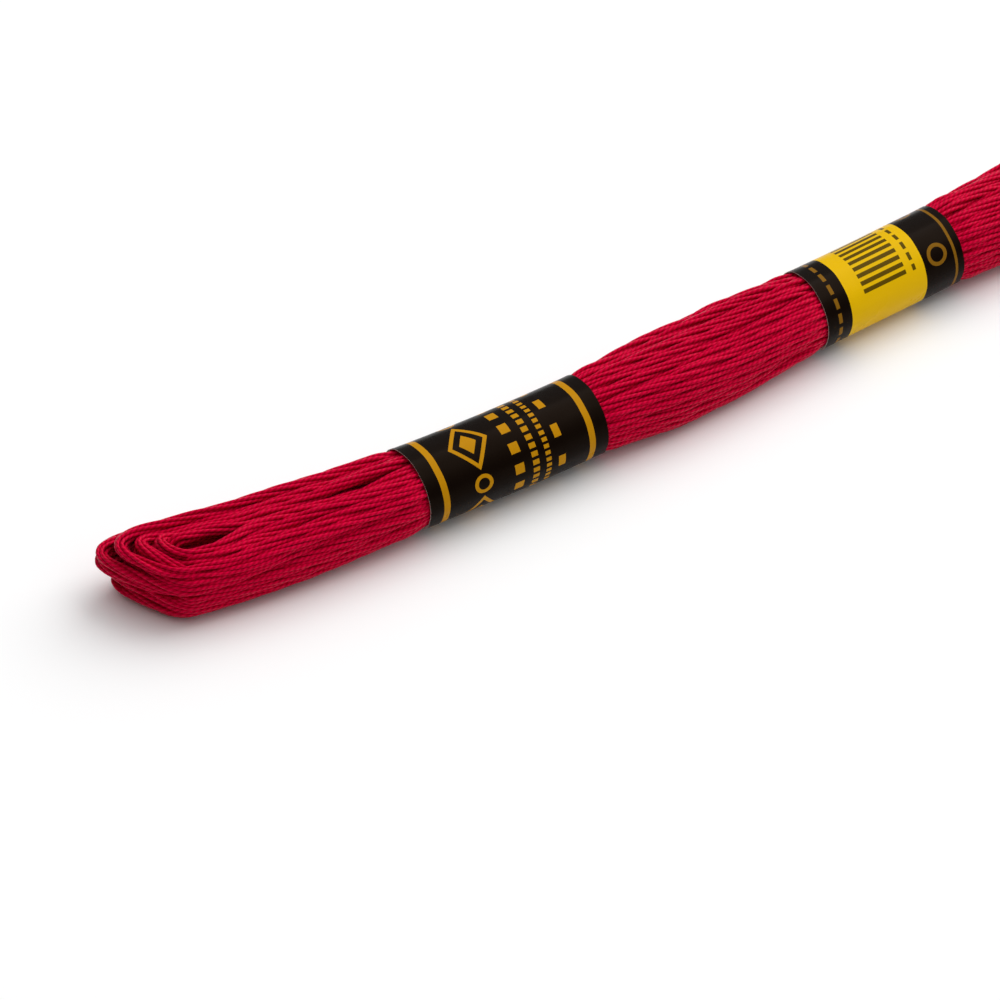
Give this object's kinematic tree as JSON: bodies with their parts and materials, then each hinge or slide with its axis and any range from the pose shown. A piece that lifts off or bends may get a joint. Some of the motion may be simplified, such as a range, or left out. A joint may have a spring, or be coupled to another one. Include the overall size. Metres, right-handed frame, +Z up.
{
  "type": "skein of embroidery floss",
  "caption": "Lying skein of crimson embroidery floss wound into a hank with an open loop at each end, held by a long black paper band and a shorter black and yellow one.",
  "frame": {"origin": "on the surface the skein lies on, below the middle of its bounding box", "axes": "+X along the skein from the loop end next to the long band towards the loop end next to the short band, +Z up"},
  "size_m": [0.1636, 0.018, 0.0116],
  "materials": {
    "floss": "crimson mercerised six-strand cotton with a silky sheen",
    "black_paper": "glossy black paper with two printed gold lines",
    "yellow_paper": "glossy black paper with a bright yellow printed panel"
  },
  "bodies": {
    "root": {"floss_hank": "floss", "long_band": "black_paper", "short_band": "yellow_paper"}
  },
  "joints": []
}
